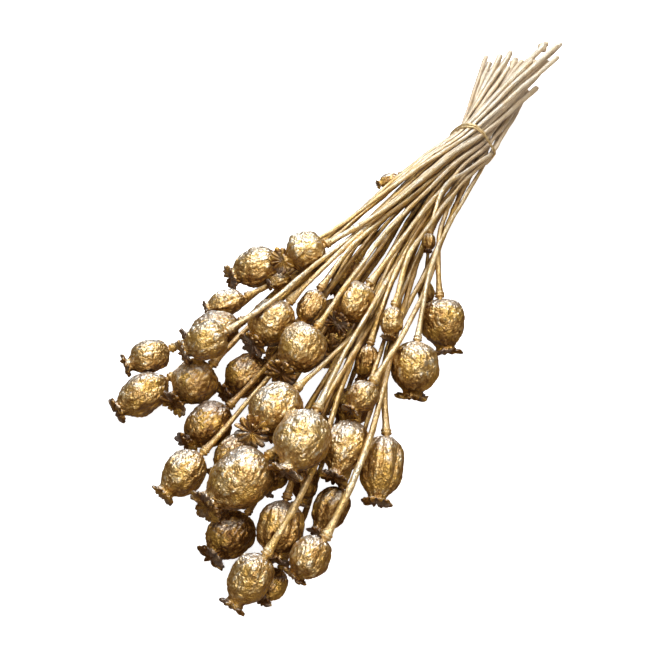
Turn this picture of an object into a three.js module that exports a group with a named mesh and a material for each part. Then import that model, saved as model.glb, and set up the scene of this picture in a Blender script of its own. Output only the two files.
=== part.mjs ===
// A bunch of dried poppy heads on their stalks, gathered by a twice-wound elastic tie and lying
// on its side. Each poppy is one grown piece: a slender stalk, a barrel-shaped pod and a flat crown.
// Millimetres, +Z up. The bunch is laid out with the tie at x = 0, the cut ends towards -X and the
// heads towards +X, on the plane z = 0, and is then moved so that the origin is under its middle.
import * as THREE from 'three';

// ---- Driving dimensions ----------------------------------------------------------------------

const STALK_RADIUS = 1.6;
const COLLAR_RADIUS = 2.4;          // where the stalk meets the pod
const COLLAR_SHARE = 0.4;           // of the pod's half girth, the most that its collar may be
const CUT_BULGE = 0.4;              // the cut end stands out this much in its middle
const TAIL_SHORTEST = 80;           // stalk behind the tie
const TAIL_LONGEST = 140;
const TAIL_STEPS = 2;
const BODY_STEP = 34;               // length of one straight stretch of stalk
const SIDES = 8;                    // sides of every stalk and pod

const WAIST_RADIUS = 18.2;          // the tie squeezes the stalks into this circle
const WAIST_HALF_WIDTH = 7;         // half the length of bunch that is squeezed round
const WAIST_HEIGHT = 22.8;          // height of the middle of the waist
const TIE_RADIUS = 0.9;
const TIE_OFFSET = 2.6;             // the two windings lie this far to each side of x = 0
const TIE_CROSSING = 1.2;           // half the distance between the windings where they cross
const TIE_CROSSING_ANGLE = 62;      // degrees round from +Y towards +Z
const TIE_STEPS = 96;
const TIE_SIDES = 6;

const CLEARANCE = 0.5;              // air kept between neighbours
const WAIST_CLEARANCE = 1.1;        // air kept between stalks inside the tie
const WAIST_ROUNDS = 600;
const TURN_OF_SPREAD = 0.026;       // sideways spread per mm of reach, per mm of height at the waist
const TURN_OF_LIFT = 0.008;         // lift per mm of reach, per mm sideways at the waist
const MEAN_LIFT = 0.05;             // the average stalk climbs this much for each mm of reach
const LEAVING_SHARE = 0.6;          // how much of its final bearing a stalk has as it leaves the tie
const LEAVING_SHIFT = -6;           // degrees that the whole bunch is bent aside in front of the tie
const LEAVING_LIFT = 0.06;          // extra slope of a stalk as it leaves the tie
const TRAILING_SHARE = 0.9;         // how much of its bearing a stalk has behind the tie
const TRAILING_SHIFT = 4;           // degrees that the tail is turned, seen from above
const TURNING_LENGTH = 45;          // a stalk turns to its pod's direction over about this length

// A pod's outline, as [fraction of its length, fraction of its half girth]. The last ring but one
// is the rim of the crown.
const POD_OUTLINE = [
  [0.10, 0.54], [0.24, 0.79], [0.40, 0.94], [0.56, 1.0],
  [0.72, 0.86], [0.85, 0.44], [0.93, 0.60], [0.98, 0.52],
];

// Spheres that fill the same outline, used to keep pods clear of their neighbours.
const POD_BEADS = [[0.10, 0.55], [0.24, 0.80], [0.40, 0.95], [0.56, 1.0], [0.72, 0.88], [0.93, 0.62]];

// The poppies, each as [reach from the tie, sideways, height, turn, droop, length, girth]: where the
// middle of the pod is, its direction in degrees (turn to the side, droop below level), and its size.
const HEADS = [
  [280, -105, 22, -45, 10, 30, 21], [304, -98, 15, -27, 9, 39, 24], [195, -78, 35, -45, 12, 35, 25],
  [181, -48, 50, -48, 12, 30, 26], [225, -80, 32, -50, 10, 28, 16], [250, -77, 30, -45, 10, 36, 24],
  [274, -65, 50, -46, 20, 30, 22], [288, -65, 29, -26, 28, 32, 27], [267, -46, 20, -29, 16, 34, 25],
  [240, -40, 46, -15, 20, 34, 27], [215, -25, 44, 0, 25, 26, 17], [255, -12, 52, -15, 20, 35, 27],
  [165, -25, 25, -5, 20, 28, 17], [207, 0, 52, -15, 20, 32, 24], [197, -57, 37, -39, 7, 17, 11],
  [72, -38, 30, -35, 5, 17, 10], [129, 18, 44, 22, 19, 14, 9], [150, 28, 20, 25, 40, 17, 11],
  [211, 28, 54, 16, 25, 21, 14], [177, 50, 27, 35, 40, 36, 28], [226, 50, 38, 20, 45, 36, 28],
  [233, 22, 36, 10, 50, 24, 13], [267, 35, 49, -4, 16, 22, 17], [294, 38, 35, 9, 16, 37, 24],
  [322, 42, 18, 0, 20, 30, 19], [292, 61, 26, 10, 22, 41, 24], [314, 20, 58, 0, 20, 39, 29],
  [300, -3, 53, -10, 10, 38, 28], [343, -6, 40, -22, 21, 43, 31], [361, 0, 16, -14, 18, 33, 26],
  [343, -41, 20, -20, 20, 33, 23], [308, -51, 17, -17, 12, 34, 26], [386, 26, 26, -10, 30, 32, 21],
  [374, 33, 9, 0, 5, 22, 15], [351, 28, 26, 15, 28, 34, 25], [361, 49, 31, -21, 36, 27, 21],
  [317, 24, 22, 15, 30, 24, 16], [319, -23, 16, -15, 11, 31, 25], [319, 5, 24, 0, 15, 28, 20],
  [232, -38, 10, -15, 5, 26, 18], [215, -8, 18, -5, 10, 30, 22], [255, 22, 16, 10, 10, 28, 22],
  [280, -14, 12, -5, 5, 28, 20], [282, 14, 16, 5, 15, 30, 22], [190, -25, 12, -10, 10, 26, 18],
];

// ---- Where each stalk passes through the tie ---------------------------------------------------

// Straight stalks that cross at a tie without touching spread like the rulings of a hyperboloid: a
// stalk's sideways lean follows its height at the waist, and its lift follows its sideways place.
function idealSlot([reach, side, height]) {
  const spread = TURN_OF_SPREAD * reach;
  const lift = TURN_OF_LIFT * reach;
  const up = height - WAIST_HEIGHT - MEAN_LIFT * reach;
  const scale = 1 / (1 + spread * lift);
  return { y: scale * (side + spread * up), z: scale * (up - lift * side) };
}

// Stalks pushed apart inside the round waist, as they are when the tie is drawn tight.
function packWaist(heads) {
  const slots = heads.map(idealSlot);
  const apart = 2 * STALK_RADIUS + WAIST_CLEARANCE;
  const reachable = WAIST_RADIUS - STALK_RADIUS;
  for (let round = 0; round < WAIST_ROUNDS; round++) {
    for (let i = 0; i < slots.length; i++) {
      for (let j = i + 1; j < slots.length; j++) {
        const dy = slots[j].y - slots[i].y;
        const dz = slots[j].z - slots[i].z;
        const distance = Math.hypot(dy, dz);
        if (distance < apart) {
          const push = (apart - distance) / (2 * distance);
          slots[i].y -= dy * push;
          slots[i].z -= dz * push;
          slots[j].y += dy * push;
          slots[j].z += dz * push;
        }
      }
    }
    for (const slot of slots) {
      const out = Math.hypot(slot.y, slot.z);
      if (out > reachable) {
        slot.y *= reachable / out;
        slot.z *= reachable / out;
      }
    }
  }
  return slots;
}

// ---- The poppies before they settle -----------------------------------------------------------

const degrees = Math.PI / 180;

function podDirection(turn, droop) {
  const level = Math.cos(droop * degrees);
  return new THREE.Vector3(
    level * Math.cos(turn * degrees), level * Math.sin(turn * degrees), -Math.sin(droop * degrees));
}

// A step of one millimetre along X, turned to a bearing and climbing at a slope.
function headed(bearing, slope) {
  return new THREE.Vector3(1, Math.tan(bearing * degrees), slope);
}

const GOLDEN_STEP = 0.618034;
const TAIL_SEED = 0.3;

// A number from 0 to 1 that differs from poppy to poppy.
function variety(index, seed) {
  return (index * GOLDEN_STEP + seed) % 1;
}

// Points along one poppy: cut end, tail, the two edges of the waist, stalk, foot of the pod, crown.
// The stalk leaves the tie a little to one side, runs out in a long curve and turns at its end to the
// pod's own direction. The tail behind the tie runs straight.
function layPoppy(head, index, slot) {
  const [reach, side, height, turn, droop, length, girth] = head;
  const direction = podDirection(turn, droop);
  const middle = new THREE.Vector3(reach, side, height);
  const foot = middle.clone().addScaledVector(direction, -length / 2);
  const crown = middle.clone().addScaledVector(direction, length / 2);
  const waist = new THREE.Vector3(0, slot.y, WAIST_HEIGHT + slot.z);
  const bearing = Math.atan2(foot.y - waist.y, foot.x) / degrees;
  const climb = (foot.z - waist.z) / foot.x;
  const leaving = headed(LEAVING_SHARE * bearing + LEAVING_SHIFT, climb + LEAVING_LIFT);
  const trailing = headed(TRAILING_SHARE * bearing + TRAILING_SHIFT, climb);

  const tail = THREE.MathUtils.lerp(TAIL_SHORTEST, TAIL_LONGEST, variety(index, TAIL_SEED));
  const points = [];
  for (let step = 0; step <= TAIL_STEPS; step++) {
    const x = THREE.MathUtils.lerp(-tail, -WAIST_HALF_WIDTH, step / TAIL_STEPS);
    points.push(waist.clone().addScaledVector(trailing, x));
  }
  const front = waist.clone().addScaledVector(leaving, WAIST_HALF_WIDTH);
  const span = front.distanceTo(foot);
  const reachOut = leaving.clone().multiplyScalar(span / 3).add(front);
  const comeIn = foot.clone().addScaledVector(direction, -Math.min(span / 3, TURNING_LENGTH));
  const bodySteps = Math.max(1, Math.round(span / BODY_STEP));
  points.push(...new THREE.CubicBezierCurve3(front, reachOut, comeIn, foot).getSpacedPoints(bodySteps));
  points.push(crown.clone());
  const bends = points.slice(1, -1).map((point, i) => {
    const straight = points[i].clone().add(points[i + 2]).multiplyScalar(0.5);
    return point.clone().sub(straight);
  });
  return {
    points, foot, crown, bends, halfGirth: girth / 2, length,
    lengths: points.slice(1).map((point, i) => point.distanceTo(points[i])),
  };
}

// ---- Settling: the stalks bend until nothing touches ------------------------------------------

const SETTLE_ROUNDS = 700;
const FREE_ROUNDS = 160;            // last rounds, when pods are no longer drawn to their places
const DRAW_TO_PLACE = 0.12;
const STIFFNESS = 0.25;
const POD_GIVE = 0.25;              // a pod yields less than a stalk does when they press together
const PAIR_REFRESH = 8;
const PAIR_MARGIN = 5;

// What can touch: a stalk's stretches are round bars, a pod is a row of spheres between its ends.
function solidsOf(poppy, owner) {
  const last = poppy.points.length - 1;
  const solids = [];
  for (let i = 0; i < last - 1; i++) {
    const [a, b] = [poppy.points[i], poppy.points[i + 1]];
    solids.push({ owner, a, b, at: null, radius: STALK_RADIUS, give: 1 });
  }
  for (const [at, size] of POD_BEADS) {
    const radius = size * poppy.halfGirth;
    solids.push({ owner, a: poppy.points[last - 1], b: poppy.points[last], at, radius, give: POD_GIVE });
  }
  return solids;
}

function nearPairs(solids) {
  const pairs = [];
  const middle = solids.map((s) => s.a.clone().lerp(s.b, s.at ?? 0.5));
  const extent = solids.map((s) => s.radius + (s.at === null ? s.a.distanceTo(s.b) / 2 : 0));
  for (let i = 0; i < solids.length; i++) {
    for (let j = i + 1; j < solids.length; j++) {
      const near = extent[i] + extent[j] + PAIR_MARGIN;
      const apart = solids[i].owner !== solids[j].owner;
      if (apart && middle[i].distanceToSquared(middle[j]) < near * near) {
        pairs.push([solids[i], solids[j]]);
      }
    }
  }
  return pairs;
}

const along1 = new THREE.Vector3();
const along2 = new THREE.Vector3();
const between = new THREE.Vector3();

// Fractions along two solids of the points where they come nearest.
function nearestFractions(one, two) {
  const limit = (value) => Math.min(1, Math.max(0, value));
  along1.subVectors(one.b, one.a);
  along2.subVectors(two.b, two.a);
  between.subVectors(one.a, two.a);
  const a = along1.lengthSq();
  const e = along2.lengthSq();
  const b = along1.dot(along2);
  const c = along1.dot(between);
  const f = along2.dot(between);
  if (one.at !== null) {
    return [one.at, two.at ?? limit((b * one.at + f) / e)];
  }
  if (two.at !== null) {
    return [limit((b * two.at - c) / a), two.at];
  }
  const spread = a * e - b * b;
  let s = spread > 1e-9 * a * e ? limit((b * f - c * e) / spread) : 0.5;
  let t = limit((b * s + f) / e);
  s = limit((b * t - c) / a);
  return [s, t];
}

function pushApart([one, two]) {
  const [s, t] = nearestFractions(one, two);
  between.subVectors(one.a, two.a).addScaledVector(along1.subVectors(one.b, one.a), s)
    .addScaledVector(along2.subVectors(two.b, two.a), -t);
  const distance = between.length();
  const wanted = one.radius + two.radius + CLEARANCE;
  if (distance >= wanted || distance < 1e-6) {
    return;
  }
  const share = one.give * ((1 - s) ** 2 + s ** 2) + two.give * ((1 - t) ** 2 + t ** 2);
  between.multiplyScalar((wanted - distance) / (distance * share));
  one.a.addScaledVector(between, one.give * (1 - s));
  one.b.addScaledVector(between, one.give * s);
  two.a.addScaledVector(between, two.give * (t - 1));
  two.b.addScaledVector(between, -two.give * t);
}

function keepLengths({ points, lengths }) {
  for (let i = 0; i < lengths.length; i++) {
    between.subVectors(points[i + 1], points[i]);
    const stretch = (between.length() - lengths[i]) / (2 * between.length());
    points[i].addScaledVector(between, stretch);
    points[i + 1].addScaledVector(between, -stretch);
  }
}

// Each poppy springs back to the bends that it grew with.
function springBack({ points, bends }) {
  for (let i = 1; i < points.length - 1; i++) {
    between.addVectors(points[i - 1], points[i + 1]).multiplyScalar(0.5).add(bends[i - 1]).sub(points[i]);
    between.multiplyScalar(STIFFNESS);
    points[i].addScaledVector(between, 0.5);
    points[i - 1].addScaledVector(between, -0.25);
    points[i + 1].addScaledVector(between, -0.25);
  }
}

function holdInWaist({ points }) {
  const reachable = WAIST_RADIUS - STALK_RADIUS;
  for (const [index, x] of [[TAIL_STEPS, -WAIST_HALF_WIDTH], [TAIL_STEPS + 1, WAIST_HALF_WIDTH]]) {
    const point = points[index];
    const up = point.z - WAIST_HEIGHT;
    const shrink = Math.min(1, reachable / Math.hypot(point.y, up));
    point.set(x, point.y * shrink, WAIST_HEIGHT + up * shrink);
  }
}

function keepAboveTable({ points, halfGirth }) {
  const last = points.length - 1;
  for (let i = 0; i < last; i++) {
    points[i].z = Math.max(points[i].z, STALK_RADIUS);
  }
  for (const [at, size] of POD_BEADS) {
    const low = size * halfGirth - THREE.MathUtils.lerp(points[last - 1].z, points[last].z, at);
    if (low > 0) {
      points[last - 1].z += low;
      points[last].z += low;
    }
  }
}

function settle(poppies) {
  const solids = poppies.flatMap(solidsOf);
  let pairs = [];
  for (let round = 0; round < SETTLE_ROUNDS; round++) {
    if (round % PAIR_REFRESH === 0) {
      pairs = nearPairs(solids);
    }
    for (const poppy of poppies) {
      if (round < SETTLE_ROUNDS - FREE_ROUNDS) {
        poppy.points.at(-2).lerp(poppy.foot, DRAW_TO_PLACE);
        poppy.points.at(-1).lerp(poppy.crown, DRAW_TO_PLACE);
        springBack(poppy);
      }
      keepLengths(poppy);
    }
    pairs.forEach(pushApart);
    poppies.forEach(holdInWaist);
    poppies.forEach(keepAboveTable);
  }
}

// ---- Solids -----------------------------------------------------------------------------------

// A closed skin through round rings, with a point at each end.
function skin(rings, startPoint, endPoint, sides, closed = false) {
  const positions = [];
  const faces = [];
  let across = new THREE.Vector3(0, 1, 0);
  for (const { centre, axis, radius } of rings) {
    across = across.clone().addScaledVector(axis, -across.dot(axis)).normalize();
    const up = axis.clone().cross(across);
    for (let i = 0; i < sides; i++) {
      const angle = (2 * Math.PI * i) / sides;
      const point = centre.clone().addScaledVector(across, radius * Math.cos(angle));
      point.addScaledVector(up, radius * Math.sin(angle));
      positions.push(point.x, point.y, point.z);
    }
  }
  const bands = closed ? rings.length : rings.length - 1;
  for (let ring = 0; ring < bands; ring++) {
    const next = ((ring + 1) % rings.length) * sides;
    for (let i = 0; i < sides; i++) {
      const j = (i + 1) % sides;
      const here = ring * sides;
      faces.push(here + i, here + j, next + j, here + i, next + j, next + i);
    }
  }
  if (!closed) {
    const start = positions.length / 3;
    const finish = start + 1;
    const lastRing = (rings.length - 1) * sides;
    positions.push(startPoint.x, startPoint.y, startPoint.z, endPoint.x, endPoint.y, endPoint.z);
    for (let i = 0; i < sides; i++) {
      const j = (i + 1) % sides;
      faces.push(start, j, i, finish, lastRing + i, lastRing + j);
    }
  }
  const geometry = new THREE.BufferGeometry();
  geometry.setAttribute('position', new THREE.Float32BufferAttribute(positions, 3));
  geometry.setIndex(faces);
  geometry.computeVertexNormals();
  return geometry;
}

function poppyGeometry({ points, halfGirth, length }) {
  const last = points.length - 1;
  const axisAt = (i) => {
    const behind = i > 0 ? points[i].clone().sub(points[i - 1]).normalize() : new THREE.Vector3();
    const ahead = i < last ? points[i + 1].clone().sub(points[i]).normalize() : new THREE.Vector3();
    return behind.add(ahead).normalize();
  };
  const rings = [];
  for (let i = 0; i < last; i++) {
    const radius = i === last - 1 ? Math.min(COLLAR_RADIUS, COLLAR_SHARE * halfGirth) : STALK_RADIUS;
    rings.push({ centre: points[i], axis: axisAt(i), radius });
  }
  const podAxis = points[last].clone().sub(points[last - 1]).normalize();
  for (const [at, size] of POD_OUTLINE) {
    const centre = points[last - 1].clone().addScaledVector(podAxis, at * length);
    rings.push({ centre, axis: podAxis, radius: size * halfGirth });
  }
  const cutEnd = points[0].clone().addScaledVector(rings[0].axis, -CUT_BULGE);
  return skin(rings, cutEnd, points[last], SIDES);
}

function tieGeometry() {
  const start = TIE_CROSSING_ANGLE * degrees - Math.PI;
  const innermost = WAIST_RADIUS + CLEARANCE + TIE_RADIUS;
  const at = (fraction) => {
    const half = 2 * Math.PI * fraction;
    const out = innermost + TIE_CROSSING * (1 + Math.sin(half));
    const angle = start + 2 * half;
    return new THREE.Vector3(
      TIE_OFFSET * Math.cos(half), out * Math.cos(angle), WAIST_HEIGHT + out * Math.sin(angle));
  };
  const rings = [];
  for (let i = 0; i < TIE_STEPS; i++) {
    const axis = at((i + 0.5) / TIE_STEPS).sub(at((i - 0.5) / TIE_STEPS)).normalize();
    rings.push({ centre: at(i / TIE_STEPS), axis, radius: TIE_RADIUS });
  }
  return skin(rings, null, null, TIE_SIDES, true);
}

// ---- The bunch --------------------------------------------------------------------------------

const gilt = new THREE.MeshStandardMaterial({ color: 0xc79a4b, roughness: 0.38, metalness: 0.85 });
const giltElastic = new THREE.MeshStandardMaterial({ color: 0xb98d45, roughness: 0.5, metalness: 0.7 });

const slots = packWaist(HEADS);
const poppies = HEADS.map((head, index) => layPoppy(head, index, slots[index]));
settle(poppies);

const bunch = new THREE.Group();
poppies.forEach((poppy, index) => {
  const mesh = new THREE.Mesh(poppyGeometry(poppy), gilt);
  mesh.name = `poppy_${String(index + 1).padStart(2, '0')}`;
  bunch.add(mesh);
});

const tie = new THREE.Mesh(tieGeometry(), giltElastic);
tie.name = 'tie';
bunch.add(tie);

const box = new THREE.Box3().setFromObject(bunch);
const middle = box.getCenter(new THREE.Vector3());
bunch.position.set(-middle.x, -middle.y, -box.min.z);

export default bunch;
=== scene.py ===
"""The looks of a tied bunch of dried poppy seed heads, sprayed gold, laid on a pale floor."""

import math

import bmesh
import bpy
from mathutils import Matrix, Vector


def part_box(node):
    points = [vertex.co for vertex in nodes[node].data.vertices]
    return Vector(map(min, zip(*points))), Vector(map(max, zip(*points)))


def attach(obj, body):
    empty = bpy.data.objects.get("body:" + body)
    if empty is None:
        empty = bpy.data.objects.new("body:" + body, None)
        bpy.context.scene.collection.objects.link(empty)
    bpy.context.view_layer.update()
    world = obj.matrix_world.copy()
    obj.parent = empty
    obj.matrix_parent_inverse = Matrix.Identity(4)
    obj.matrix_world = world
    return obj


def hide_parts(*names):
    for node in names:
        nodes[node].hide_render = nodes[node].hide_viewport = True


MM = 0.001
SAME_POINT = 0.001 * MM

# How fine each pattern is, as the scale of its noise over metres.
FINENESS = {
    "patches": 120.0, "specks": 900.0, "amber": 85.0, "bare": 75.0, "grain": 430.0,
    "threads": 500.0, "sway": 11.0, "thickness": 26.0, "knots": 44.0, "streaks": 45.0,
    "folds": 310.0, "crackle": 400.0, "dents": 95.0, "wrinkles": 420.0}

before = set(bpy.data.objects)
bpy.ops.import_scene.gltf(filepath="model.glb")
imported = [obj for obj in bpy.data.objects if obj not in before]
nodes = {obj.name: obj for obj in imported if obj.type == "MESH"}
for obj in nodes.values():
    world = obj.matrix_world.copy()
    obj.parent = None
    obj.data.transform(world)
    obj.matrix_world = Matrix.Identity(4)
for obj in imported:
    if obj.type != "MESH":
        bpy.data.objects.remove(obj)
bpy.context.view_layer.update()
poppy_names = sorted(name for name in nodes if name.startswith("poppy_"))


# ---- Building trees -----------------------------------------------------------------------------

def fill(tree, socket, value):
    """Gives an input a value, or links it to another node's output."""
    if isinstance(value, bpy.types.NodeSocket):
        tree.links.new(value, socket)
    elif value is not None:
        socket.default_value = value


def add(tree, kind, *values, pick=0, named=None, **settings):
    """Adds a node, sets it up, fills its inputs and gives one of its outputs."""
    node = tree.nodes.new(kind)
    for name, value in settings.items():
        setattr(node, name, value)
    for place, value in (*enumerate(values), *(named or {}).items()):
        fill(tree, node.inputs[place], value)
    return node.outputs[pick]


def maths(tree, operation, *values):
    return add(tree, "ShaderNodeMath", *values, operation=operation)


def off_centre(tree, value, centre=0.5):
    """How far a value lies above its centre."""
    return maths(tree, "SUBTRACT", value, centre)


def creased(tree, value):
    """Turns soft noise into sharp creases: 0 where the noise crosses its middle."""
    return maths(tree, "ABSOLUTE", maths(tree, "MULTIPLY_ADD", value, 2.0, -1.0))


def vectors(tree, operation, *values):
    gives_number = operation in ("LENGTH", "DOT_PRODUCT")
    return add(tree, "ShaderNodeVectorMath", *values, operation=operation,
               pick=1 if gives_number else 0)


def scaled(tree, vector, factor):
    return add(tree, "ShaderNodeVectorMath", vector, operation="SCALE", named={"Scale": factor})


def spread(tree, value, low, high, new_low, new_high, smooth=False):
    """Maps a value from one range onto another and holds it there."""
    kind = "SMOOTHSTEP" if smooth else "LINEAR"
    return add(tree, "ShaderNodeMapRange", value, low, high, new_low, new_high,
               interpolation_type=kind)


def noise(tree, vector, scale, seed=None, detail=2.0, roughness=0.5):
    """Soft noise between 0 and 1; the seed moves it along a fourth axis."""
    return add(tree, "ShaderNodeTexNoise", noise_dimensions="3D" if seed is None else "4D",
               named={"Vector": vector, "Scale": scale, "Detail": detail, "Roughness": roughness,
                      **({} if seed is None else {"W": seed})})


def ends_first(rows):
    """The order for a new curve or ramp, which has its two ends before anything is added."""
    return [rows[0], rows[-1], *rows[1:-1]]


def profile(tree, value, points):
    """A smooth curve through the points, read at the value."""
    result = add(tree, "ShaderNodeFloatCurve", 1.0, value)
    curve = result.node.mapping.curves[0]
    for place, point in enumerate(ends_first(points)):
        if place < 2:
            curve.points[place].location = point
        else:
            curve.points.new(*point)
    result.node.mapping.update()
    return result


def attribute(tree, geometry, name, value):
    return add(tree, "GeometryNodeStoreNamedAttribute", geometry, data_type="FLOAT",
               domain="POINT", named={"Name": name, "Value": value})


def read_attribute(tree, name):
    return add(tree, "GeometryNodeInputNamedAttribute", name, data_type="FLOAT")


def pushed(tree, geometry, direction, amount):
    """Moves each point of a shape by an amount along a direction."""
    return add(tree, "GeometryNodeSetPosition", geometry, None, None,
               scaled(tree, direction, amount))


def joined(tree, *parts):
    whole = tree.nodes.new("GeometryNodeJoinGeometry")
    for part in parts:
        fill(tree, whole.inputs[0], part)
    return whole.outputs[0]


def placed(tree, geometry, where, axis):
    """Turns a shape that was made along Z to its own axis and puts it in its place."""
    turn = add(tree, "FunctionNodeAlignRotationToVector", named={"Vector": axis}, axis="Z")
    return add(tree, "GeometryNodeTransform", geometry, where, turn)


def new_tree(name, sizes):
    """An empty geometry tree with named inputs; gives the tree and its inputs by name."""
    tree = bpy.data.node_groups.new(name, "GeometryNodeTree")
    tree.interface.new_socket("Geometry", in_out="INPUT", socket_type="NodeSocketGeometry")
    tree.interface.new_socket("Geometry", in_out="OUTPUT", socket_type="NodeSocketGeometry")
    for label, kind in sizes.items():
        tree.interface.new_socket(label, in_out="INPUT", socket_type="NodeSocket" + kind)
    inputs = tree.nodes.new("NodeGroupInput").outputs
    return tree, {socket.name: socket for socket in inputs if socket.name}


def finish_tree(tree, geometry, material):
    """Ends a tree: plain mesh, smooth, in its material."""
    real = add(tree, "GeometryNodeRealizeInstances", geometry)
    smooth = add(tree, "GeometryNodeSetShadeSmooth", real)
    painted = add(tree, "GeometryNodeSetMaterial", smooth, named={"Material": material})
    fill(tree, tree.nodes.new("NodeGroupOutput").inputs[0], painted)


def put_in_scene(name, data):
    thing = bpy.data.objects.new(name, data)
    bpy.context.scene.collection.objects.link(thing)
    return thing


def grow(name, tree, points, sizes):
    """Runs a tree on a row of points and leaves its result as a plain mesh object."""
    seedling = bpy.data.meshes.new(name + "_points")
    seedling.from_pydata(points, [], [])
    grown = put_in_scene(name, seedling)
    modifier = grown.modifiers.new("shape", "NODES")
    modifier.node_group = tree
    for item in tree.interface.items_tree:
        if item.name in sizes:
            modifier[item.identifier] = sizes[item.name]
    view = bpy.context.evaluated_depsgraph_get()
    mesh = bpy.data.meshes.new_from_object(grown.evaluated_get(view))
    grown.modifiers.remove(modifier)
    grown.data = mesh
    mesh.name = name
    bpy.data.meshes.remove(seedling)
    return grown


# ---- Reading the frame --------------------------------------------------------------------------

RING_SIDES = 8                # points in each ring of a poppy's solid
POD_RINGS = 8                 # rings that make its pod, up to the crown's rim
GIRTH_RING = 5                # the pod's widest ring, counted back from the crown's pole


def rings_of(node):
    """The rings of a poppy's solid, from the cut end to the crown: a pole, rings, a pole."""
    work = bmesh.new()
    work.from_mesh(node.data)
    bmesh.ops.remove_doubles(work, verts=work.verts, dist=SAME_POINT)
    poles = [v for v in work.verts if len(v.link_edges) == RING_SIDES]
    start = min(poles, key=lambda v: v.co.x)
    rings, seen, front = [], {start}, [start]
    while front:
        rings.append([v.co.copy() for v in front])
        following = []
        for vertex in front:
            for edge in vertex.link_edges:
                other = edge.other_vert(vertex)
                if other not in seen:
                    seen.add(other)
                    following.append(other)
        front = following
    work.free()
    return rings


def middle_of(ring):
    return sum(ring, Vector()) / len(ring)


def measure(node):
    """What the looks need from a poppy's solid: its path, its foot, and its pod's sizes."""
    rings = rings_of(node)
    foot = middle_of(rings[-POD_RINGS - 2])
    crown = middle_of(rings[-1])
    girth_ring = rings[-1 - GIRTH_RING]
    half_girth = max((v - middle_of(girth_ring)).length for v in girth_ring)
    axis = crown - foot
    path = [middle_of(ring) for ring in rings[1:-POD_RINGS - 1]]
    return {"path": path, "foot": foot, "axis": axis.normalized(), "length": axis.length,
            "half girth": half_girth}


measures = {name: measure(nodes[name]) for name in poppy_names}


# ---- Finishes -----------------------------------------------------------------------------------

def new_material(name):
    material = bpy.data.materials.new(name)
    material.use_nodes = True
    material.node_tree.nodes.clear()
    return material, material.node_tree


def ramp(tree, value, stops):
    """Colours between stops given as (place, red, green, blue)."""
    result = add(tree, "ShaderNodeValToRGB", value)
    elements = result.node.color_ramp.elements
    for place, stop in enumerate(ends_first(stops)):
        element = elements[place] if place < 2 else elements.new(stop[0])
        element.position = stop[0]
        element.color = (*stop[1:], 1.0)
    return result


def blend(tree, factor, first, second):
    """Mixes two colours; a colour mix has them at its inputs 6 and 7."""
    return add(tree, "ShaderNodeMix", data_type="RGBA", pick=2,
               named={0: factor, 6: first, 7: second})


def surface(tree, settings):
    """Ends a material: one shader with these settings."""
    shader = add(tree, "ShaderNodeBsdfPrincipled", named=settings)
    fill(tree, tree.nodes.new("ShaderNodeOutputMaterial").inputs[0], shader)


def shade_attribute(tree, name):
    return add(tree, "ShaderNodeAttribute", attribute_name=name, pick="Fac")


# Gold from dark brown to pale, by how much gold lies there and by painted light and shade.
GOLD_BY_COVER_AND_LIGHT = [
    (0.05, 0.130, 0.052, 0.009), (0.25, 0.32, 0.160, 0.036), (0.48, 0.53, 0.31, 0.095),
    (0.72, 0.77, 0.55, 0.24), (0.98, 0.86, 0.77, 0.60)]
AMBER = (0.74, 0.46, 0.10, 1.0)
# Pale grey gold: painted light on the stalks' cut ends.
TAIL_PAINTED_LIGHT = (0.64, 0.58, 0.51, 1.0)
# Grey husk, on undersides partly painted shade.
BARE_HUSK_AND_SHADE = (0.25, 0.205, 0.18, 1.0)
# Painted highlight: silvery white on faces turned up and back.
SILVER_HIGHLIGHT = (0.90, 0.89, 0.88, 1.0)


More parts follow.
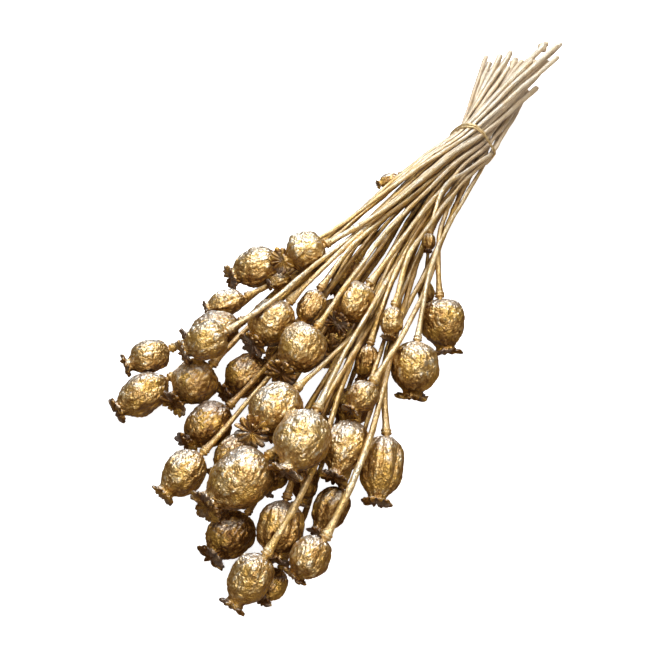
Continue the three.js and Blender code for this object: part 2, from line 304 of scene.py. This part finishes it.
def gilt_material():
    """Gold spray over dry brown husk, with light and shade painted in: paler on tops, ridges and
    open faces, painted shade below, in creases and inside the bunch, and a painted silvery
    highlight.
    """
    material, tree = new_material("gold_spray")
    place = add(tree, "ShaderNodeTexCoord", pick="Object")
    # These attributes drive painted light and shade: facing up, openness to the sky, relief, and
    # facing the painted highlight.
    up, open_air, relief, crown, stalk, gilding, facing_highlight = (
        shade_attribute(tree, name)
        for name in ("up", "open_air", "relief", "crown", "stalk", "gilding", "sprayed"))
    patches = noise(tree, place, FINENESS["patches"], detail=3.0, roughness=0.6)
    specks = noise(tree, place, FINENESS["specks"])

    # Tone of the gold here: random patches and specks and darker crowns, with painted light and
    # shade: lighter facing up, in the open and on ridges, painted shade below, in creases and
    # inside the bunch.
    gold_and_painted_light = maths(tree, "MULTIPLY_ADD", up, 0.26, 0.36)
    for cause, usual, weight in ((open_air, 0.7, 0.55), (relief, 0.5, 0.80),
                                 (patches, 0.5, 0.45), (specks, 0.5, 0.12)):
        gold_and_painted_light = maths(tree, "MULTIPLY_ADD", off_centre(tree, cause, usual), weight, gold_and_painted_light)
    gold_and_painted_light = maths(tree, "MULTIPLY_ADD", crown, -0.28, gold_and_painted_light)
    # Stalks paler towards their cut ends: painted light.
    gold_and_painted_light = maths(tree, "MULTIPLY_ADD", stalk, 0.12, gold_and_painted_light)
    # Each poppy lighter or darker: partly its share of spray, partly painted shade.
    gold_and_painted_light = maths(tree, "ADD", gold_and_painted_light, gilding)
    gold = ramp(tree, gold_and_painted_light, GOLD_BY_COVER_AND_LIGHT)

    # Warmer patches, and a paler grey tone on the stalk ends, which is painted light.
    amber = noise(tree, place, FINENESS["amber"], roughness=0.6)
    amber = spread(tree, amber, 0.50, 0.62, 0.0, 0.55, smooth=True)
    gold = blend(tree, amber, gold, AMBER)
    gold = blend(tree, spread(tree, stalk, 0.45, 1.0, 0.0, 0.5), gold, TAIL_PAINTED_LIGHT)

    # Grey husk that the spray missed, in crowns, and on undersides, where it is partly bare husk
    # and partly painted shade.
    bare = noise(tree, place, FINENESS["bare"], roughness=0.6)
    bare = spread(tree, bare, 0.46, 0.60, 0.0, 1.0, smooth=True)
    shade_side = spread(tree, up, -0.55, 0.40, 0.85, 0.0, smooth=True)
    hidden = maths(tree, "MAXIMUM", shade_side, maths(tree, "MULTIPLY", crown, 0.7))
    gold = blend(tree, maths(tree, "MULTIPLY", bare, hidden), gold, BARE_HUSK_AND_SHADE)

    # Painted highlight: silvery white on faces turned up and back, in the open and on ridges, less
    # on stalks.
    thick = maths(tree, "MULTIPLY_ADD", patches, 0.5, facing_highlight)
    thick = spread(tree, thick, 0.85, 1.25, 0.0, 0.85, smooth=True)
    for cause, *reaches in ((open_air, 0.35, 0.75, 0.0, 1.0), (relief, 0.15, 0.6, 0.35, 1.0),
                            (stalk, 0.0, 0.4, 1.0, 0.35)):
        thick = maths(tree, "MULTIPLY", thick, spread(tree, cause, *reaches))
    gold = blend(tree, thick, gold, SILVER_HIGHLIGHT)

    rough = spread(tree, gold_and_painted_light, 0.1, 0.9, 0.46, 0.30)
    rough = maths(tree, "MULTIPLY_ADD", stalk, 0.18, rough)
    metal = maths(tree, "MULTIPLY_ADD", stalk, -0.38, 0.88)

    # Fine creases. Pods carry their own places in "skin"; stalks and crowns use the object's.
    skin = add(tree, "ShaderNodeAttribute", attribute_name="skin", pick="Vector")
    off_pod = maths(tree, "MULTIPLY", maths(tree, "ADD", stalk, crown), 3.0)
    off_pod = maths(tree, "MINIMUM", off_pod, 1.0)
    skin = vectors(tree, "ADD", skin, scaled(tree, place, off_pod))
    grain = creased(tree, noise(tree, skin, FINENESS["grain"]))
    grain = maths(tree, "ADD", grain, maths(tree, "MULTIPLY", specks, 0.4))
    bump = add(tree, "ShaderNodeBump", named={"Strength": 0.9, "Distance": 1.0 * MM,
                                              "Height": grain})
    surface(tree, {"Base Color": gold, "Metallic": metal, "Roughness": rough, "Normal": bump,
                   "Coat Weight": 0.35, "Coat Roughness": 0.28})
    return material


def elastic_material():
    """The tie's elastic: gold with worn, darker threads."""
    material, tree = new_material("gilded_elastic")
    place = add(tree, "ShaderNodeTexCoord", pick="Object")
    wear = noise(tree, place, FINENESS["threads"], detail=3.0)
    colour = ramp(tree, wear, [(0.3, 0.42, 0.26, 0.10), (0.7, 0.80, 0.64, 0.36)])
    surface(tree, {"Base Color": colour, "Metallic": 0.6, "Roughness": 0.45})
    return material


gilt = gilt_material()
elastic = elastic_material()


# ---- One poppy ----------------------------------------------------------------------------------

STALK_RINGS = 1.8 * MM        # between rings along a stalk
COLLAR_RINGS = 0.5 * MM       # between rings before the pod, where the collar needs them
STALK_SIDES = 12
COLLAR_REACH = 26 * MM        # how far before the pod the stalk starts to change
POD_SEGMENTS, POD_STEPS = 144, 90
CROWN_SEGMENTS, CROWN_STEPS = 120, 20
SWAY_FROM, SWAY_FULL = 5 * MM, 45 * MM     # before the foot
SWAY = 3.5 * MM
CUT_END = 30 * MM, 75 * MM    # where the thicker cut end starts to thin, and where it has
CUT_END_THICKER = 0.30
KNOB_PLACE, KNOB_REACH = 7 * MM, 4 * MM    # from the cut end
STREAKS_ROUND = 1.7           # how quickly streaks change round the stalk
STREAK_DEPTH = 2.0 * MM
TAIL_LOOK = 90 * MM, 200 * MM, 1.0, 0.45   # the tail's paler colour, painted light, and its rougher finish fade between these places

RIB_WANDER = 5.0
FOLD_STRETCH = (1.0, 1.0, 0.42)            # folds run along the pod
FOLD_SHARE, CRACKLE_SHARE = 0.62, 0.38
DENT_DEPTH = 1.2              # of the pod's crumple

LOBE_ROUNDNESS = 0.42         # lower is squarer
RAGGED_RIM, RAGGED_CURL = 0.55, 1.1
CURL_STEEPNESS = 2.2
RIDGE_SHARPNESS, RIDGE_HEIGHT = 3.0, 0.30
CROWN_THICKNESS = 0.08        # of its radius
WRINKLE_DEPTH = 0.5 * MM
POD_SHARE = 0.935             # how much of the length from foot to crown the pod fills
CROWN_SHARE = 0.925           # how far along that length the crown sits

# Outlines as (place, width). The stalk's runs back from the pod, the pod's from foot to crown.
COLLAR_PROFILE = [
    (0.00, 0.62), (0.08, 0.50), (0.16, 0.48), (0.185, 0.56), (0.205, 0.86), (0.225, 0.98),
    (0.245, 0.82), (0.262, 0.74), (0.285, 0.94), (0.305, 0.92), (0.330, 0.76), (0.42, 0.66),
    (0.56, 0.56), (0.75, 0.51), (1.00, 0.50)]
POD_PROFILE = [
    (0.00, 0.00), (0.015, 0.22), (0.05, 0.47), (0.11, 0.71), (0.20, 0.88), (0.34, 0.98),
    (0.46, 1.00), (0.60, 0.96), (0.72, 0.84), (0.81, 0.66), (0.88, 0.48), (0.93, 0.42),
    (0.985, 0.46), (1.00, 0.00)]


def swaying_line(tree, size):
    """The stalk's path: smooth, with a slight sway that dies out before the pod's foot."""
    index = add(tree, "GeometryNodeInputIndex")
    points = add(tree, "GeometryNodeMeshToPoints", size["Geometry"])
    line = add(tree, "GeometryNodePointsToCurves", points, None, index)
    line = add(tree, "GeometryNodeCurveSplineType", line, spline_type="CATMULL_ROM")
    line = add(tree, "GeometryNodeResampleCurve", line, mode="LENGTH",
               named={"Length": COLLAR_RINGS})
    line = attribute(tree, line, "along",
                     add(tree, "GeometryNodeSplineParameter", pick="Length"))
    along = read_attribute(tree, "along")
    whole = add(tree, "GeometryNodeCurveLength", line)
    to_foot = maths(tree, "SUBTRACT", whole, along)
    sway = add(tree, "ShaderNodeTexNoise", noise_dimensions="1D", pick="Color", named={
        "W": maths(tree, "ADD", along, size["Seed"]), "Scale": FINENESS["sway"],
        "Detail": 1.0})
    sway = vectors(tree, "SUBTRACT", sway, (0.5, 0.5, 0.5))
    reach = spread(tree, to_foot, SWAY_FROM, SWAY_FULL, 0.0, SWAY)
    return pushed(tree, line, sway, reach), along, whole, to_foot


def stalk_radius(tree, size, along, to_foot):
    """How thick the stalk is: uneven, thicker at the cut end, with knots and a collar."""
    share = maths(tree, "MINIMUM", maths(tree, "DIVIDE", to_foot, COLLAR_REACH), 1.0)
    collar = profile(tree, share, COLLAR_PROFILE)
    slow = noise(tree, None, FINENESS["thickness"], maths(tree, "ADD", along, size["Seed"]),
                 detail=1.0)
    knots = noise(tree, None, FINENESS["knots"],
                  maths(tree, "SUBTRACT", along, size["Seed"]), detail=0.0)
    knots = spread(tree, knots, 0.60, 0.74, 0.0, 0.22, smooth=True)
    cut_end = spread(tree, along, *CUT_END, CUT_END_THICKER, 0.0, smooth=True)
    from_knob = maths(tree, "ABSOLUTE", off_centre(tree, along, KNOB_PLACE))
    knob = spread(tree, from_knob, 0.0, KNOB_REACH, 1.0, 0.0, smooth=True)
    thick = maths(tree, "MULTIPLY_ADD", off_centre(tree, slow), 0.45, 1.0)
    for more in (knots, cut_end, maths(tree, "MULTIPLY", size["Knob"], knob)):
        thick = maths(tree, "ADD", thick, more)
    return maths(tree, "MULTIPLY", maths(tree, "MULTIPLY", collar, thick),
                 maths(tree, "MULTIPLY", size["Stalk radius"], 2.0))


def stalk(tree, size):
    """The stalk: a smooth path with streaks, a flare and raised rings before the pod."""
    line, along, whole, to_foot = swaying_line(tree, size)
    radius = stalk_radius(tree, size, along, to_foot)
    split = maths(tree, "SUBTRACT", whole, COLLAR_REACH)
    long_part = add(tree, "GeometryNodeTrimCurve", mode="LENGTH", named={
        "Curve": line, 4: 0.0, 5: maths(tree, "ADD", split, STALK_RINGS)})
    long_part = add(tree, "GeometryNodeResampleCurve", long_part, mode="LENGTH",
                    named={"Length": STALK_RINGS})
    end_part = add(tree, "GeometryNodeTrimCurve", mode="LENGTH", named={
        "Curve": line, 4: split, 5: whole})
    ring = add(tree, "GeometryNodeCurvePrimitiveCircle", STALK_SIDES, mode="RADIUS",
               named={"Radius": 1.0})
    tube = add(tree, "GeometryNodeCurveToMesh", joined(tree, long_part, end_part), ring, radius,
               True)

    normal = add(tree, "GeometryNodeInputNormal")
    further = maths(tree, "MULTIPLY_ADD", along, FINENESS["streaks"], size["Seed"])
    streaks = noise(tree, scaled(tree, normal, STREAKS_ROUND), 1.0, further, detail=3.0,
                    roughness=0.7)
    height = maths(tree, "MULTIPLY", off_centre(tree, streaks), STREAK_DEPTH)
    tube = pushed(tree, tube, normal, height)
    tube = attribute(tree, tube, "relief", streaks)
    # The stalk's mark, rising towards the cut end, where the gold material paints light (paler)
    # and a rougher finish.
    return attribute(tree, tube, "stalk", spread(tree, along, *TAIL_LOOK))


def around(tree):
    """Round the axis: a point's angle, its direction outwards, its reach and its height."""
    position = add(tree, "GeometryNodeInputPosition")
    x, y, height = add(tree, "ShaderNodeSeparateXYZ", position).node.outputs
    angle = maths(tree, "ARCTAN2", y, x)
    flat = add(tree, "ShaderNodeCombineXYZ", x, y, 0.0)
    return angle, vectors(tree, "NORMALIZE", flat), vectors(tree, "LENGTH", flat), height


def turned(tree, ball, out, radius, rise):
    """Moves a ball's points to a radius and a height, which makes a turned shape of it."""
    lift = add(tree, "ShaderNodeCombineXYZ", 0.0, 0.0, rise)
    shaped = vectors(tree, "ADD", scaled(tree, out, radius), lift)
    return add(tree, "GeometryNodeSetPosition", ball, None, shaped)


def pod(tree, size):
    """The pod: an outline turned about its axis, ribbed, dented and crumpled."""
    ball = add(tree, "GeometryNodeMeshUVSphere", POD_SEGMENTS, POD_STEPS, 1.0)
    position = add(tree, "GeometryNodeInputPosition")
    angle, out, _, height = around(tree)
    down = maths(tree, "MULTIPLY", height, -1.0)
    share = maths(tree, "DIVIDE", maths(tree, "ARCCOSINE", down), math.pi)
    width = profile(tree, maths(tree, "POWER", share, size["Belly"]), POD_PROFILE)

    # Ribs wander a little and fade towards both ends.
    fading = spread(tree, width, 0.2, 0.8, 0.15, 1.0)
    wander = noise(tree, out, 1.3, maths(tree, "MULTIPLY_ADD", share, 1.6, size["Seed"]))
    turning = maths(tree, "MULTIPLY_ADD", angle, size["Ribs"], size["Seed"])
    turning = maths(tree, "MULTIPLY_ADD", wander, RIB_WANDER, turning)
    ribs = maths(tree, "ABSOLUTE", maths(tree, "COSINE", maths(tree, "MULTIPLY", turning, 0.5)))
    ribs = maths(tree, "MULTIPLY", off_centre(tree, ribs, 0.6), fading)

    lumps = noise(tree, position, 1.1, size["Seed"], detail=1.0)
    lumps = maths(tree, "MULTIPLY", off_centre(tree, lumps), size["Lumps"])
    lumpy = maths(tree, "MULTIPLY", width, maths(tree, "ADD", lumps, 1.0))
    radius = maths(tree, "MULTIPLY", lumpy, size["Half girth"])
    radius = maths(tree, "MULTIPLY_ADD", ribs, size["Rib depth"], radius)
    rise = maths(tree, "MULTIPLY", share, maths(tree, "MULTIPLY", size["Pod length"], POD_SHARE))
    ball = turned(tree, ball, out, radius, rise)

    # Dry skin: long folds, finer crackle and broad dents.
    place = add(tree, "GeometryNodeInputPosition")
    long_way = vectors(tree, "MULTIPLY", place, FOLD_STRETCH)
    folds = creased(tree, noise(tree, long_way, FINENESS["folds"], size["Seed"],
                                roughness=0.6))
    folds = spread(tree, folds, 0.0, 0.36, 0.0, 1.0)
    crackle = noise(tree, place, FINENESS["crackle"], size["Seed"], detail=1.0)
    crackle = spread(tree, crackle, 0.25, 0.75, 0.0, 1.0)
    relief = maths(tree, "MULTIPLY_ADD", folds, FOLD_SHARE,
                   maths(tree, "MULTIPLY", crackle, CRACKLE_SHARE))
    dents = noise(tree, place, FINENESS["dents"], size["Seed"], detail=0.0)
    dents = maths(tree, "MULTIPLY_ADD", dents, 2 * DENT_DEPTH, -DENT_DEPTH)
    depth = maths(tree, "ADD", off_centre(tree, relief), dents)
    depth = maths(tree, "MULTIPLY", depth, size["Crumple"])
    ball = pushed(tree, ball, add(tree, "GeometryNodeInputNormal"), depth)
    skin = vectors(tree, "ADD", place, size["Foot"])
    ball = add(tree, "GeometryNodeStoreNamedAttribute", ball, data_type="FLOAT_VECTOR",
               domain="POINT", named={"Name": "skin", "Value": skin})
    return attribute(tree, ball, "relief", relief)


def crown(tree, size):
    """The crown: a thin ridged disc with rounded lobes and a ragged, curling rim."""
    ball = add(tree, "GeometryNodeMeshUVSphere", CROWN_SEGMENTS, CROWN_STEPS, 1.0)
    angle, out, reach, height = around(tree)
    turning = maths(tree, "MULTIPLY", maths(tree, "MULTIPLY", angle, size["Lobes"]), 0.5)
    lobe = maths(tree, "ABSOLUTE", maths(tree, "COSINE", turning))
    lobe = maths(tree, "POWER", lobe, LOBE_ROUNDNESS)
    slit = maths(tree, "MULTIPLY", off_centre(tree, lobe, 1.0), size["Slits"])
    ragged = off_centre(tree, noise(tree, out, 2.1, size["Seed"], roughness=0.7))
    rim = maths(tree, "ADD", slit, maths(tree, "MULTIPLY_ADD", ragged, RAGGED_RIM, 1.0))
    radius = maths(tree, "MULTIPLY", maths(tree, "MULTIPLY", rim, reach), size["Crown radius"])

    curl = maths(tree, "MULTIPLY_ADD", ragged, RAGGED_CURL, size["Curl"])
    dish = maths(tree, "MULTIPLY", maths(tree, "POWER", reach, CURL_STEEPNESS), curl)
    ridge = maths(tree, "MULTIPLY", maths(tree, "POWER", lobe, RIDGE_SHARPNESS), RIDGE_HEIGHT)
    ridge = maths(tree, "MULTIPLY", ridge, reach)
    above = maths(tree, "MAXIMUM", height, 0.0)
    rise = maths(tree, "MULTIPLY_ADD", above, ridge, dish)
    rise = maths(tree, "MULTIPLY_ADD", height, CROWN_THICKNESS, rise)
    rise = maths(tree, "MULTIPLY", rise, size["Crown radius"])
    ball = turned(tree, ball, out, radius, rise)

    place = add(tree, "GeometryNodeInputPosition")
    wrinkles = noise(tree, place, FINENESS["wrinkles"], size["Seed"])
    depth = maths(tree, "MULTIPLY", off_centre(tree, wrinkles), WRINKLE_DEPTH)
    ball = pushed(tree, ball, add(tree, "GeometryNodeInputNormal"), depth)
    ball = attribute(tree, ball, "relief", maths(tree, "MULTIPLY", lobe, wrinkles))
    ball = attribute(tree, ball, "crown", 1.0)
    return placed(tree, ball, size["Crown place"], size["Crown axis"])


SKY_RAYS = [
    (0.0, 0.0, 1.0), (0.6, 0.0, 0.8), (-0.6, 0.0, 0.8), (0.0, 0.6, 0.8), (0.0, -0.6, 0.8),
    (0.66, 0.66, 0.36), (-0.66, 0.66, 0.36), (0.66, -0.66, 0.36), (-0.66, -0.66, 0.36)]
RAY_START = 3 * MM            # off the surface, past its own creases
RAY_LENGTH = 90 * MM
# Faces turned this way, up and back towards the window light, get a painted silvery highlight.
HIGHLIGHT_FROM = (-0.45, -0.23, 0.86)


def open_air(tree, geometry, pile):
    """Stores how much sky each point sees past the bunch, how it faces up, and how it faces the
    painted highlight's direction: the gold material paints light and shade from these.
    """
    solid = add(tree, "GeometryNodeObjectInfo", pile, pick="Geometry")
    place = add(tree, "GeometryNodeInputPosition")
    normal = add(tree, "GeometryNodeInputNormal")
    start = vectors(tree, "ADD", place, scaled(tree, normal, RAY_START))
    seen = 0.0
    for ray in SKY_RAYS:
        hit = add(tree, "GeometryNodeRaycast", solid, named={
            "Source Position": start, "Ray Direction": ray, "Ray Length": RAY_LENGTH})
        seen = maths(tree, "ADD", seen, maths(tree, "SUBTRACT", 1.0, hit))
    seen = maths(tree, "DIVIDE", seen, float(len(SKY_RAYS)))
    geometry = attribute(tree, geometry, "open_air", seen)
    geometry = attribute(tree, geometry, "up",
                         add(tree, "ShaderNodeSeparateXYZ", normal, pick=2))
    # How each point faces the direction of the painted silvery highlight.
    return attribute(tree, geometry, "sprayed",
                     vectors(tree, "DOT_PRODUCT", normal, HIGHLIGHT_FROM))


def poppy_tree():
    """The whole poppy as one tree, with its sizes as named inputs."""
    numbers = ("Pod length", "Half girth", "Belly", "Ribs", "Rib depth", "Lumps", "Crumple",
               "Crown radius", "Lobes", "Slits", "Curl", "Stalk radius", "Knob", "Gilding and shade",
               "Seed")
    places = ("Foot", "Axis", "Crown place", "Crown axis")
    tree, size = new_tree("gilded_poppy", {
        **dict.fromkeys(places, "Vector"), **dict.fromkeys(numbers, "Float"), "Pile": "Object"})
    whole = joined(tree, stalk(tree, size),
                   placed(tree, pod(tree, size), size["Foot"], size["Axis"]),
                   crown(tree, size))
    lit = open_air(tree, whole, size["Pile"])
    lit = attribute(tree, lit, "gilding", size["Gilding and shade"])
    finish_tree(tree, lit, gilt)
    return tree


# ---- The bunch ----------------------------------------------------------------------------------

RIBBED = {"poppy_22": 1.6, "poppy_25": 1.5, "poppy_26": 1.3, "poppy_35": 1.3}   # rib depth, mm
SMOOTH_RIBS = 0.55            # rib depth of all other pods, mm
FINGERED = {"poppy_03", "poppy_07"}    # crowns with deep slits

# How far a crown is bent away from its pod's axis, towards BENDING_TO (0 none, 1 all the way).
BENT_CROWNS = {
    "poppy_04": 0.72, "poppy_28": 0.70, "poppy_10": 0.42, "poppy_12": 0.45, "poppy_08": 0.42,
    "poppy_29": 0.36, "poppy_14": 0.50, "poppy_09": 0.30, "poppy_03": 0.30, "poppy_33": 0.25,
    "poppy_32": 0.30, "poppy_07": 0.30, "poppy_13": 0.30, "poppy_31": 0.20}
USUAL_BEND = 0.08
BENDING_TO = Vector((0.573, 0.292, 0.766))

KNOBBED = {"poppy_02": 1.2, "poppy_39": 0.7, "poppy_14": 0.6}    # swollen cut ends

# Lighter (above 0) or darker gold on the whole poppy: partly more or less spray, partly painted
# shade on poppies that lie in shadow.
GILDING_AND_SHADE = {
    "poppy_06": -0.16, "poppy_07": 0.06, "poppy_08": -0.08, "poppy_09": -0.08,
    "poppy_32": -0.22, "poppy_30": -0.20, "poppy_34": -0.22, "poppy_37": -0.16,
    "poppy_39": -0.10, "poppy_38": -0.06, "poppy_35": -0.06, "poppy_25": -0.04,
    "poppy_14": -0.04, "poppy_22": -0.06, "poppy_16": -0.12}

FULL_GROWN = 10 * MM          # half girth from which a pod has full ribs, folds and stalk
STALK_INTO_POD = 1.5 * MM
GOLDEN_STEP = 0.6180339887


def variety(number, salt):
    """A repeatable number between 0 and 1 for this poppy."""
    return (number * GOLDEN_STEP * (salt + 1) + salt * 0.37) % 1.0


def joined_pile():
    """All solids of the frame as one mesh, for asking what covers what."""
    work = bmesh.new()
    for node in nodes.values():
        work.from_mesh(node.data)
    mesh = bpy.data.meshes.new("pile")
    work.to_mesh(mesh)
    work.free()
    return put_in_scene("pile", mesh)


def crown_sizes(number, name, m):
    """Where a poppy's crown sits, how it leans, and its size and edge."""
    bent = BENT_CROWNS.get(name, USUAL_BEND)
    axis = (m["axis"] * (1 - bent) + BENDING_TO * bent).normalized()
    radius = m["half girth"] * (0.68 + 0.08 * variety(number, 2))
    place = m["foot"] + m["axis"] * (m["length"] * CROWN_SHARE)
    place += axis * (radius * 0.3 * bent)
    return {"Crown radius": radius, "Crown place": place, "Crown axis": axis,
            "Lobes": float(9 + number % 5), "Slits": 0.50 if name in FINGERED else 0.27,
            "Curl": 0.02 + 0.30 * (variety(number, 3) - 0.5)}


def pod_sizes(number, name, m, small):
    """A pod's place, direction, outline and skin."""
    crumple = 0.75 if name in RIBBED else 1.05
    return {"Foot": m["foot"], "Axis": m["axis"], "Pod length": m["length"],
            "Half girth": m["half girth"] * 1.02, "Belly": 0.92 + 0.22 * variety(number, 1),
            "Ribs": float(7 + number % 4),
            "Rib depth": RIBBED.get(name, SMOOTH_RIBS) * MM * small,
            "Lumps": 0.16, "Crumple": crumple * MM * small}


def gild(number, name, tree, pile):
    """Makes one poppy's piece from its solid's path and sizes."""
    m = measures[name]
    small = min(1.0, m["half girth"] / FULL_GROWN)
    inside = m["foot"] + m["axis"] * STALK_INTO_POD
    piece = grow(name + "_gilded", tree, [*m["path"], inside], {
        **pod_sizes(number, name, m, small), **crown_sizes(number, name, m),
        "Stalk radius": (0.95 + 0.45 * small + 0.40 * variety(number, 6)) * MM,
        "Knob": KNOBBED.get(name, 0.0),
        "Gilding and shade": GILDING_AND_SHADE.get(name, 0.08 * (variety(number, 5) - 0.5)),
        "Seed": number * 7.31, "Pile": pile})
    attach(piece, "root")
    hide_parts(name)


poppy_shape = poppy_tree()
solid_pile = joined_pile()
for poppy_number, poppy_name in enumerate(poppy_names, 1):
    gild(poppy_number, poppy_name, poppy_shape, solid_pile)
bpy.data.objects.remove(solid_pile)


# ---- The tie ------------------------------------------------------------------------------------

TIE_STEPS, TIE_SIDES = 360, 12
TIE_HALF_WIDE, TIE_HALF_THICK = 1.1 * MM, 0.7 * MM
TIE_GRIP = 2.0 * MM           # from a stalk's middle to the band's middle
TIE_OFFSET = 2.2 * MM         # how far a winding strays along the bunch
TIE_CROSSING = 0.5 * MM       # how far one winding lifts over the other
TIE_START = math.radians(62) - math.pi
HULL_STEPS = 120
LEAST_TURN = 0.2              # directions flatter than this can't hold the band off the stalks


def hull_reach(centres, angle):
    """How far from the middle a band drawn tight round the stalks lies, at an angle."""
    reaches = []
    for step in range(HULL_STEPS):
        other = 2 * math.pi * step / HULL_STEPS
        turn = math.cos(angle - other)
        if turn > LEAST_TURN:
            across = max(y * math.cos(other) + z * math.sin(other) for y, z in centres)
            reaches.append((across + TIE_GRIP) / turn)
    return min(reaches)


def stalk_centres(waist):
    """Where the stalks pass the plane across the waist, measured from its middle."""
    centres = []
    for m in measures.values():
        for first, second in zip(m["path"], m["path"][1:]):
            if first.x <= waist.x < second.x:
                point = first.lerp(second, (waist.x - first.x) / (second.x - first.x))
                centres.append((point.y - waist.y, point.z - waist.z))
    return centres


def tie_path(waist):
    """Two windings drawn tight round the stalks, which cross on top."""
    centres = stalk_centres(waist)
    path = []
    for step in range(TIE_STEPS):
        half = 2 * math.pi * step / TIE_STEPS
        angle = TIE_START + 2 * half
        out = hull_reach(centres, angle) + TIE_CROSSING * (1 + math.sin(half))
        path.append(waist + Vector((TIE_OFFSET * math.cos(half), out * math.cos(angle),
                                    out * math.sin(angle))))
    return path


def tie_piece(waist):
    """The elastic band: a flat oval drawn along its path, closed on itself."""
    path = tie_path(waist)
    vertices, faces = [], []
    for step, point in enumerate(path):
        ahead = (path[(step + 1) % TIE_STEPS] - path[step - 1]).normalized()
        out = point - waist
        out = (out - ahead * out.dot(ahead)).normalized()
        side = ahead.cross(out)
        for turn in range(TIE_SIDES):
            angle = 2 * math.pi * turn / TIE_SIDES
            vertices.append(point + side * (TIE_HALF_WIDE * math.cos(angle))
                            + out * (TIE_HALF_THICK * math.sin(angle)))
    for step in range(TIE_STEPS):
        here, there = step * TIE_SIDES, (step + 1) % TIE_STEPS * TIE_SIDES
        for turn in range(TIE_SIDES):
            after = (turn + 1) % TIE_SIDES
            faces.append((here + turn, here + after, there + after, there + turn))
    mesh = bpy.data.meshes.new("tie_elastic")
    mesh.from_pydata(vertices, [], faces)
    work = bmesh.new()
    work.from_mesh(mesh)
    bmesh.ops.recalc_face_normals(work, faces=work.faces)
    work.to_mesh(mesh)
    work.free()
    mesh.shade_smooth()
    mesh.materials.append(elastic)
    piece = put_in_scene("tie_elastic", mesh)
    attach(piece, "root")
    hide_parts("tie")


waist_middle = middle_of(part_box("tie"))
tie_piece(waist_middle)


# ---- Floor, light and camera --------------------------------------------------------------------

SKY_BY_HEIGHT = [
    (0.0, 0.19, 0.098, 0.028), (0.48, 0.09, 0.050, 0.022), (0.58, 0.11, 0.086, 0.062),
    (0.78, 0.26, 0.255, 0.25), (1.0, 0.50, 0.50, 0.50)]
WHITE = (1.0, 1.0, 1.0, 1.0)
FLOOR_SIZE = 6.0
FLOOR_GREY = (0.92, 0.92, 0.92, 1.0)
FLOOR_GLOW = 0.85             # keeps the floor as pale as its surroundings

# Name, direction, distance, size, power in watts, colour.
LIGHTS = [
    ("window", (-0.573, -0.292, 0.80), 1.3, (1.0, 0.5), 16.0, (0.90, 0.95, 1.0)),
    ("ceiling", (-0.05, 0.05, 1.0), 1.3, (0.5, 0.5), 6.5, (1.0, 0.96, 0.88)),
    ("lamp", (0.50, 0.40, 0.76), 1.4, (0.5, 0.5), 6.0, (1.0, 0.90, 0.76))]

CAMERA_FROM_WAIST = Vector((0.57435, 0.16811, 0.49086))
CAMERA_LOOKS = Vector((-0.57273, -0.29182, -0.76604))
CAMERA_SENSOR, CAMERA_LENS = 36.0, 55.4    # mm
CAMERA_FAR = 20.0


def plain_floor():
    bpy.ops.mesh.primitive_plane_add(size=FLOOR_SIZE, location=(0, 0, 0))
    floor = bpy.context.object
    floor.name = "floor"
    material, tree = new_material("pale_floor")
    surface(tree, {"Base Color": FLOOR_GREY, "Roughness": 0.9,
                   "Emission Color": WHITE, "Emission Strength": FLOOR_GLOW})
    floor.data.materials.append(material)
    floor.visible_glossy = False


def soft_light(name, direction, distance, size, power, colour):
    """A rectangle of light that faces the bunch from a direction."""
    lamp = bpy.data.lights.new(name, "AREA")
    lamp.shape = "RECTANGLE"
    lamp.size, lamp.size_y = size
    lamp.energy = power
    lamp.color = colour
    holder = put_in_scene(name, lamp)
    holder.location = Vector(direction).normalized() * distance
    holder.rotation_euler = (-Vector(direction)).to_track_quat("-Z", "Y").to_euler()


def room():
    """Light from all round: pale above, brown at the height of the bunch, warm below."""
    world = bpy.data.worlds.new("room")
    bpy.context.scene.world = world
    world.use_nodes = True
    tree = world.node_tree
    tree.nodes.clear()
    way = add(tree, "ShaderNodeTexCoord", pick="Generated")
    height = add(tree, "ShaderNodeSeparateXYZ", way, pick=2)
    light = ramp(tree, maths(tree, "MULTIPLY_ADD", height, 0.5, 0.5), SKY_BY_HEIGHT)
    seen = add(tree, "ShaderNodeLightPath", pick="Is Camera Ray")
    shine = add(tree, "ShaderNodeBackground", blend(tree, seen, light, WHITE), 1.0)
    fill(tree, tree.nodes.new("ShaderNodeOutputWorld").inputs[0], shine)


def place_camera(waist):
    camera = put_in_scene("camera", bpy.data.cameras.new("camera"))
    camera.data.sensor_width = CAMERA_SENSOR
    camera.data.lens = CAMERA_LENS
    camera.data.clip_end = CAMERA_FAR
    camera.location = waist + CAMERA_FROM_WAIST
    camera.rotation_euler = CAMERA_LOOKS.to_track_quat("-Z", "Y").to_euler()
    bpy.context.scene.camera = camera


plain_floor()
for light in LIGHTS:
    soft_light(*light)
room()
place_camera(waist_middle)
bpy.context.scene.view_settings.view_transform = "Standard"
